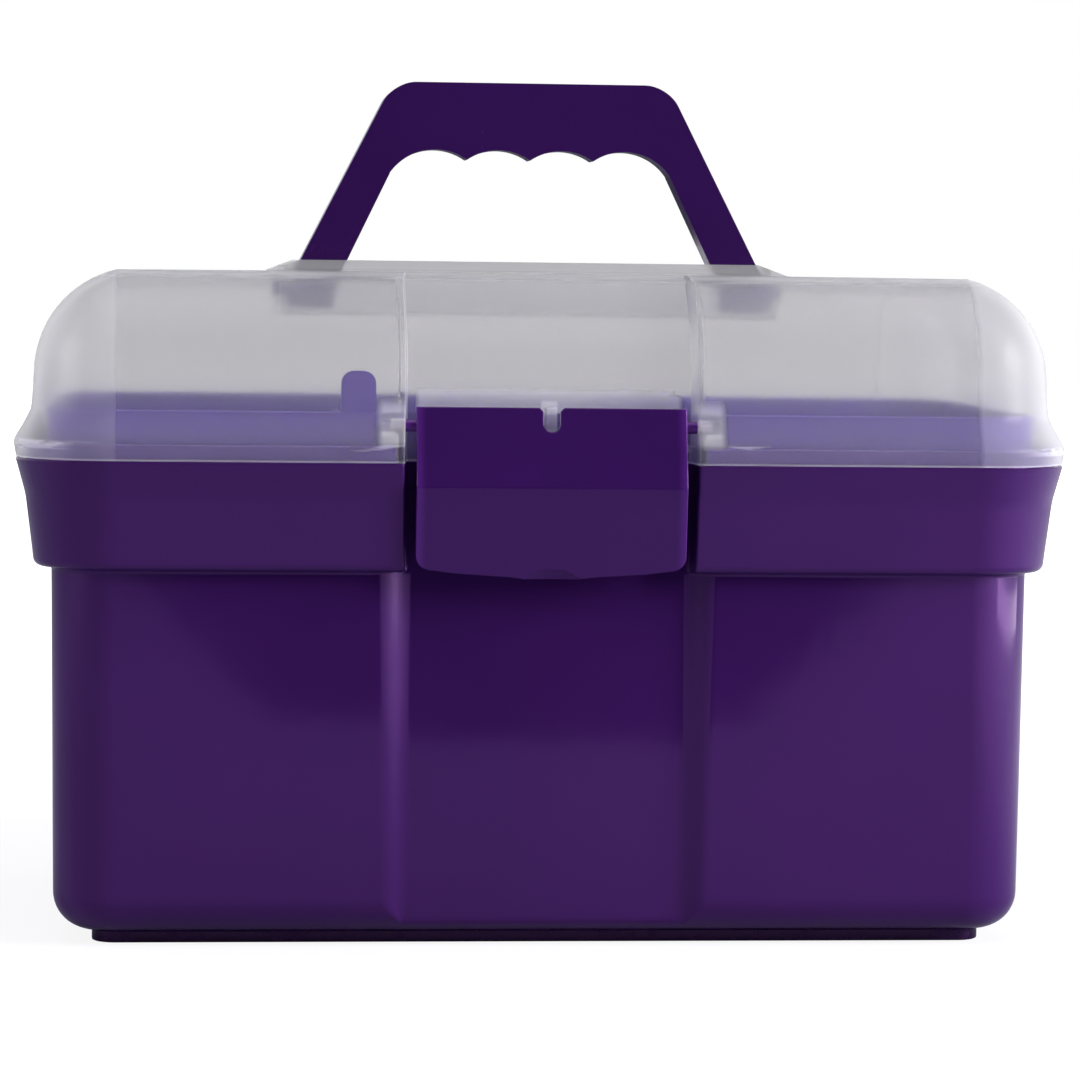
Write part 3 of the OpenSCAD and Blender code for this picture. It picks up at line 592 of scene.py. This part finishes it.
class Finish:
    def __init__(self, name, world=False):
        self.holder = bpy.data.worlds.new(name) if world else bpy.data.materials.new(name)
        self.holder.use_nodes = True
        self.tree = self.holder.node_tree
        self.tree.nodes.clear()

    def node(self, kind, settings=None, sockets=None, out=0):
        made = self.tree.nodes.new(kind)
        for name, value in (settings or {}).items():
            setattr(made, name, value)
        for name, value in (sockets or {}).items():
            if isinstance(value, Wire):
                self.tree.links.new(value.socket, made.inputs[name])
            else:
                made.inputs[name].default_value = value
        return Wire(self, made.outputs[out]) if made.outputs else made

    def place(self, scale=(1, 1, 1)):
        """Object coordinates, stretched by a scale."""
        spot = self.node("ShaderNodeTexCoord", out="Object")
        return self.node("ShaderNodeMapping", {}, {"Vector": spot, "Scale": scale})

    def axis(self, name, vector=None):
        """One part of a vector, or else of the Object coordinates."""
        return self.node("ShaderNodeSeparateXYZ", {}, {"Vector": vector or self.place()}, out=name)

    def noise(self, scale, detail=3.0, stretch=(1, 1, 1)):
        return self.node("ShaderNodeTexNoise", {}, {"Vector": self.place(stretch), "Scale": scale, "Detail": detail})

    def looked_at(self):
        """1 for a ray from the camera or through the lid, and 0 for a ray that lights or mirrors."""
        return self.node("ShaderNodeLightPath", out="Is Camera Ray") + self.node(
            "ShaderNodeLightPath", out="Is Transmission Ray")

    def mix(self, share, first, second):
        """A colour between two, by a share."""
        return self.node("ShaderNodeMix", {"data_type": "RGBA"}, {0: share, 6: first, 7: second}, out=2)

    def bump(self, height, strength, distance):
        return self.node("ShaderNodeBump", {}, {"Height": height, "Strength": strength, "Distance": distance})

    def end(self, shader):
        kind = "ShaderNodeOutputWorld" if isinstance(self.holder, bpy.types.World) else "ShaderNodeOutputMaterial"
        self.node(kind, {}, {"Surface": shader})
        return self.holder


# %% [markdown]
# ## Purple moulded plastic
# Polypropylene moulds with a soft gloss that shows the faint waviness of its tool. Flow gives it a slight mottle,
# handling leaves fine hairline scratches, and the foot scuffs first. One function makes all four purples, because
# the pieces come from the same plastic and differ in tone and gloss. It also paints light and shade on them: a dark
# painted shadow at the foot where the box meets the floor, a paler band of painted light where a piece is seen
# through the lid, and a painted highlight along the latch's edges.

# %% The purple finishes
NOWHERE = (1.0, 2.0)
# The first colour paints the shadow at the foot, the second a highlight along edges.
FOOT_SHADOW, EDGE_HIGHLIGHT = (0.005, 0.002, 0.010, 1), (0.085, 0.017, 0.20, 1)


def purple(name, deep, bright, gloss, scuffs=1.0, pale=NOWHERE, painted_light_tone=(0.085, 0.045, 0.270), rim=NOWHERE):
    """A purple finish. Between the two heights of pale the colour is painted paler, as light seen through the lid, and
    past the half widths of rim its edges carry a painted highlight."""
    finish = Finish(name)
    mottle = finish.noise(14.0, 4.0)
    grain = finish.noise(420.0, 2.0)
    wave = finish.noise(55.0, 2.0)
    hair_level = finish.noise(36.0, 2.0, (0.25, 1.0, 9.0)).between(0.66, 0.72)
    hair_steep = finish.noise(30.0, 2.0, (9.0, 9.0, 0.3)).between(0.69, 0.74)
    hairs = (hair_level + hair_steep) * finish.noise(9.0, 1.0).between(0.5, 0.62) * scuffs
    aside, depth, height = abs(finish.axis("X")), finish.axis("Y"), finish.axis("Z")
    foot = 1 - height.between(0.003, 0.006)
    worn = foot * finish.noise(170.0, 5.0).between(0.42, 0.66)
    before_hinge = 1 - depth.between(0.101, 0.103)
    # A band of painted light: between its two heights the colour is paler, as light seen through the lid.
    paler = height.between(pale[0], pale[0] + 0.001) * (1 - height.between(pale[1] - 0.002, pale[1])) * before_hinge
    tone = finish.mix(mottle.between(0.3, 0.7), (*deep, 1), (*bright, 1))
    # Painted shadow at the foot, a little less dark where it is scuffed.
    tone = finish.mix(foot * 0.85 - worn * 0.2, tone, FOOT_SHADOW)
    tone = finish.mix(paler * 0.9, tone, (*painted_light_tone, 1))
    # Painted highlight: past the rim's half widths the edges are painted brighter.
    tone = finish.mix(aside.between(*rim) * 0.6, tone, EDGE_HIGHLIGHT)
    rough = gloss + 0.04 * mottle + 0.03 * grain + 0.05 * hairs + 0.3 * worn
    relief = finish.bump(wave * 0.7 + grain * 0.03 - hairs * 0.05, 0.10, 0.0006)
    return finish.end(finish.node("ShaderNodeBsdfPrincipled", {}, {
        "Base Color": tone, "Roughness": rough, "Normal": relief, "IOR": 1.49, "Specular Tint": (0.8, 0.42, 1.0, 1)}))


# The tub's tongue above the rim, seen through the lid's lip, gets a paler band of painted light.
tub_finish = purple("purple_tub", (0.0335, 0.0067, 0.080), (0.0385, 0.0076, 0.090), 0.03, pale=(0.1555, 0.17))
# The handle's feet, low in the lid's well and seen through it, get a paler band of painted light.
handle_finish = purple("purple_handle", (0.0225, 0.0040, 0.061), (0.0265, 0.0048, 0.070), 0.22, 0.3,
                       pale=(0.0, 0.2135), painted_light_tone=(0.20, 0.15, 0.56))
# The latch's side edges get a painted highlight.
latch_finish = purple("purple_latch", (0.0265, 0.0050, 0.069), (0.0305, 0.0058, 0.078), 0.06,
                      rim=(0.0395, 0.0430))
tray_finish = purple("purple_tray", (0.092, 0.046, 0.365), (0.104, 0.053, 0.400), 0.25, 0.5)
print("purple finishes:", [m.name for m in (tub_finish, handle_finish, latch_finish, tray_finish)])

# %% [markdown]
# ## Milky clear plastic
# The lid is unpigmented polypropylene: light passes it but scatters, so what touches it shows and what lies behind
# blurs. A rough transmission gives that blur, and a rougher, paler one stands for the milk in the wall. A share
# mixes the two. It grows where the wall turns away or is thicker: at the ends, bosses, lug, lip and rounded top.
# The share also carries painted light: a painted highlight on the channel above the latch, painted highlight streaks
# along the ridge above the lip, and a lighter right side where light from the right is painted in. In the well's
# walls the clear is brighter, as painted light in the shade under the platform.

# %% Where the lid is milkier
finish = Finish("milky_lid")
cloud = finish.noise(22.0, 4.0)
across, deep, height = finish.axis("X"), finish.axis("Y"), finish.axis("Z")
along = abs(across)
front = deep.between(-0.074, -0.084)
facing = abs(finish.axis("X", finish.node("ShaderNodeTexCoord", out="Normal")))
ends = facing.between(0.35, 0.95) * 0.24 + along.between(0.1365, 0.1385) * 0.11
# Painted light from the right: the right end and the right half are made milkier, so they show lighter.
right_painted_light = across.between(0.1365, 0.1385) * 0.05 + across.between(0.02, 0.14) * 0.03
well = (1 - along.between(0.086, 0.088)) * deep.between(-0.0135, -0.0125) * (
    1 - deep.between(0.0735, 0.0745)) * height.between(0.201, 0.203)
well_front = well * (1 - deep.between(-0.0085, -0.0075)) * 0.65
# Painted highlight on the channel above the latch: more milk there, broken up right of the middle.
patchy = 1 - across.between(0.006, 0.010) * finish.noise(60.0, 2.0, (0.5, 1.0, 2.0)).between(0.5, 0.42)
highlight_above_latch = (1 - along.between(0.041, 0.043)) * height.between(0.171, 0.172) * (
    1 - height.between(0.1775, 0.1795)) * front * patchy * 0.5
boss = along.between(0.0455, 0.047) * (1 - along.between(0.053, 0.056)) * height.between(0.160, 0.163) * (
    1 - height.between(0.172, 0.177)) * front * 0.5
lug = (1 - along.between(0.002, 0.003)) * height.between(0.164, 0.166) * (
    1 - height.between(0.174, 0.176)) * front * 0.6
lip_edge = (1 - height.between(0.1561, 0.1566)) * 0.5
top = height.between(0.2130, 0.2158)
# Painted highlight streaks along the ridge just above the lip, where the gloss on the bulge would catch light.
highlight_streaks = finish.noise(45.0, 3.0, (0.5, 1.0, 5.0)).between(0.50, 0.56) * finish.noise(9.0, 1.0).between(0.40, 0.48)
ridge_highlight = highlight_streaks * height.between(0.1588, 0.1598) * (1 - height.between(0.1610, 0.1622)) * 0.8
milky = 0.16 + 0.03 * cloud + ends + right_painted_light + well_front + highlight_above_latch + boss + lug + lip_edge + top * 0.7 + ridge_highlight
print("the lid's mask uses", len(finish.tree.nodes), "nodes")

# %% The lid's finish
# The clear in the well's walls is brighter, as painted light where the platform shades them.
CLEAR, CLEAR_WELL_PAINTED_LIGHT = (0.625, 0.62, 0.635, 1), (0.90, 0.895, 0.91, 1)
MILK, MILK_TOP = (0.93, 0.93, 0.94, 1), (0.56, 0.56, 0.57, 1)
hairs = finish.noise(40.0, 2.0, (0.3, 1.0, 7.0)).between(0.67, 0.73) * finish.noise(8.0, 1.0).between(0.5, 0.6)
clear = finish.node("ShaderNodeBsdfPrincipled", {}, {
    "Base Color": finish.mix(well, CLEAR, CLEAR_WELL_PAINTED_LIGHT), "Roughness": 0.19 + 0.05 * cloud + 0.04 * hairs,
    "IOR": 1.06, "Coat Weight": 0.2, "Coat Roughness": 0.25, "Transmission Weight": 1.0,
    "Normal": finish.bump(cloud, 0.06, 0.0005)})
milk = finish.node("ShaderNodeBsdfPrincipled", {}, {
    "Base Color": finish.mix(top, MILK, MILK_TOP), "Roughness": 0.5, "IOR": 1.1, "Transmission Weight": 0.75})
lid_finish = finish.end(finish.node("ShaderNodeMixShader", {}, {0: milky, 1: clear, 2: milk}))
print("lid finish:", lid_finish.name)

# %% [markdown]
# ## Steel pins
# The hinge pins are drawn wire, with fine marks along their length.

# %% The pins' finish
finish = Finish("drawn_steel")
lines = finish.noise(60.0, 3.0, (0.1, 20.0, 20.0))
steel_finish = finish.end(finish.node("ShaderNodeBsdfPrincipled", {}, {
    "Base Color": finish.mix(lines, (0.45, 0.45, 0.47, 1), (0.62, 0.62, 0.64, 1)), "Metallic": 1.0,
    "Roughness": 0.25 + 0.2 * lines, "Normal": finish.bump(lines, 0.15, 0.0002)}))

# %% Dress the pieces and let them ride
dressed = ((tub, "tub", "tub_body", "purple_gloss", tub_finish), (lid, "lid", "lid_body", "milky_clear", lid_finish),
           (handle, "handle", "handle_body", "purple_handle", handle_finish),
           (latch, "latch", "latch_body", "purple_latch", latch_finish),
           (tray, "tray", "tray_body", "purple_tray", tray_finish))
for piece, node, body, slot, material in dressed:
    piece.data.materials.clear()
    piece.data.materials.append(material)
    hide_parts(node)
    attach(piece, body)
for node in ("hinge_pin_left", "hinge_pin_right"):
    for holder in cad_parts[node].material_slots:
        holder.material = steel_finish
print("dressed:", [entry[1] for entry in dressed])

# %% [markdown]
# ## Stage, light and camera
# The box stands on a pale floor in a pale room. The camera, and rays that pass the lid, see both as white, and the
# floor keeps a soft shadow near the box. What the gloss mirrors and what lights the box is darker: a room that is
# dim in front keeps the purple deep. The floor's sheet is painted with light and shade: a painted patch of light to
# the right, a painted dark patch in front that the gloss mirrors as the front's darker field, and painted shade far
# behind.

# %% The floor
shape = bmesh.new()
bmesh.ops.create_grid(shape, x_segments=1, y_segments=1, size=6)
ground = piece_from(shape, "floor")
# The sheet is painted with light and shade: lighter to the right as a painted pool of light, a painted dark patch in
# front that the gloss mirrors, and painted shade far behind the box.
SHEET, LIT_SHEET = (0.36, 0.35, 0.43, 1), (0.60, 0.56, 0.70, 1)
PAINTED_FRONT_SHADE, PAINTED_FAR_SHADE = (0.01, 0.01, 0.012, 1), (0.07, 0.065, 0.09, 1)
finish = Finish("white_floor")
away = finish.axis("Y") * -1.0 - 0.12 + 0.06 * finish.noise(4.0, 2.0)
aside = finish.axis("X") + 0.014 - 0.088 * away
front_shade_patch = (0.19 * away + 0.002 - abs(aside)).between(-0.015, 0.015)
sheet = finish.mix(finish.axis("X").between(0.2, 0.6), SHEET, LIT_SHEET)
sheet = finish.mix(front_shade_patch * away.between(0.54, 0.59), sheet, PAINTED_FRONT_SHADE)
sheet = finish.mix((away * -1.0).between(1.4, 1.6), sheet, PAINTED_FAR_SHADE)
cloth = finish.node("ShaderNodeBsdfPrincipled", {}, {"Base Color": sheet, "Roughness": 1.0, "Specular IOR Level": 0.0})
glow = finish.node("ShaderNodeEmission", {}, {"Color": (1, 1, 1, 1), "Strength": 1.35})
far = finish.node("ShaderNodeVectorMath", {"operation": "LENGTH"}, {0: finish.place()}, out="Value").between(0.25, 0.7)
ground.data.materials.append(finish.end(finish.node("ShaderNodeMixShader", {}, {
    0: finish.looked_at() * (0.65 + 0.35 * far), 1: cloth, 2: glow})))
ground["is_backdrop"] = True
print("floor:", [m.name for m in ground.data.materials])

# %% The room
FRONT_TONE, BACK_TONE = (0.05, 0.05, 0.055, 1), (0.80, 0.81, 0.84, 1)
finish = Finish("room", world=True)
white = finish.node("ShaderNodeBackground", {}, {"Color": (1, 1, 1, 1), "Strength": 1.0})
behind = finish.axis("Y", finish.node("ShaderNodeTexCoord", out="Generated")).between(-0.6, 0.5)
dim = finish.node("ShaderNodeBackground", {}, {"Color": finish.mix(behind, FRONT_TONE, BACK_TONE), "Strength": 1.0})
bpy.context.scene.world = finish.end(finish.node("ShaderNodeMixShader", {}, {0: finish.looked_at(), 1: dim, 2: white}))
print("world:", bpy.context.scene.world.name)

# %% Lamps
def lamp(name, place, target, size, power):
    data = bpy.data.lights.new(name, "AREA")
    data.shape, data.size, data.size_y, data.energy = "RECTANGLE", size[0], size[1], power
    light = bpy.data.objects.new(name, data)
    light.location = place
    light.rotation_euler = (Vector(target) - Vector(place)).to_track_quat("-Z", "Y").to_euler()
    bpy.context.scene.collection.objects.link(light)


lamp("overhead", (0.1, -0.3, 1.6), (0, 0, 0.1), (1.6, 1.2), 12)
lamp("right_window", (1.5, -0.7, 0.7), (0, 0, 0.12), (0.7, 0.8), 42)
lamp("left_fill", (-1.5, -0.5, 0.6), (0, 0, 0.12), (0.8, 0.8), 9)
lamp("low_right", (1.10, -0.14, 0.013), (0.146, -0.088, 0.013), (0.95, 0.026), 0.29)
print("lamps:", sorted(light.name for light in bpy.data.lights))

# %% The camera
IMAGE_W, SENSOR_W = 1080, 36
eye = Vector((-121.26, -1389.8, 218.1)) * MM
turn, dip, tilt, focal = 0.0909, 0.0664, 0.0121, 4106.5
ahead = Vector((math.sin(turn) * math.cos(dip), math.cos(turn) * math.cos(dip), -math.sin(dip)))
right = Vector((math.cos(turn), -math.sin(turn), 0))
up = right.cross(ahead)
right, up = right * math.cos(tilt) + up * math.sin(tilt), up * math.cos(tilt) - right * math.sin(tilt)
data = bpy.data.cameras.new("camera")
data.sensor_fit, data.sensor_width, data.lens = "HORIZONTAL", SENSOR_W, focal / IMAGE_W * SENSOR_W
camera = bpy.data.objects.new("camera", data)
camera.matrix_world = Matrix((right, up, -ahead)).transposed().to_4x4()
camera.location = eye
bpy.context.scene.collection.objects.link(camera)
bpy.context.scene.camera = camera
bpy.context.scene.view_settings.view_transform = "Standard"
print("lens:", round(data.lens, 1), "mm")

# %% Compare the two boxes and finish
def plain(value):
    return [plain(v) for v in value] if hasattr(value, "__len__") else float(value)


{"cad": plain(cad_box), "visual": plain(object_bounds())}
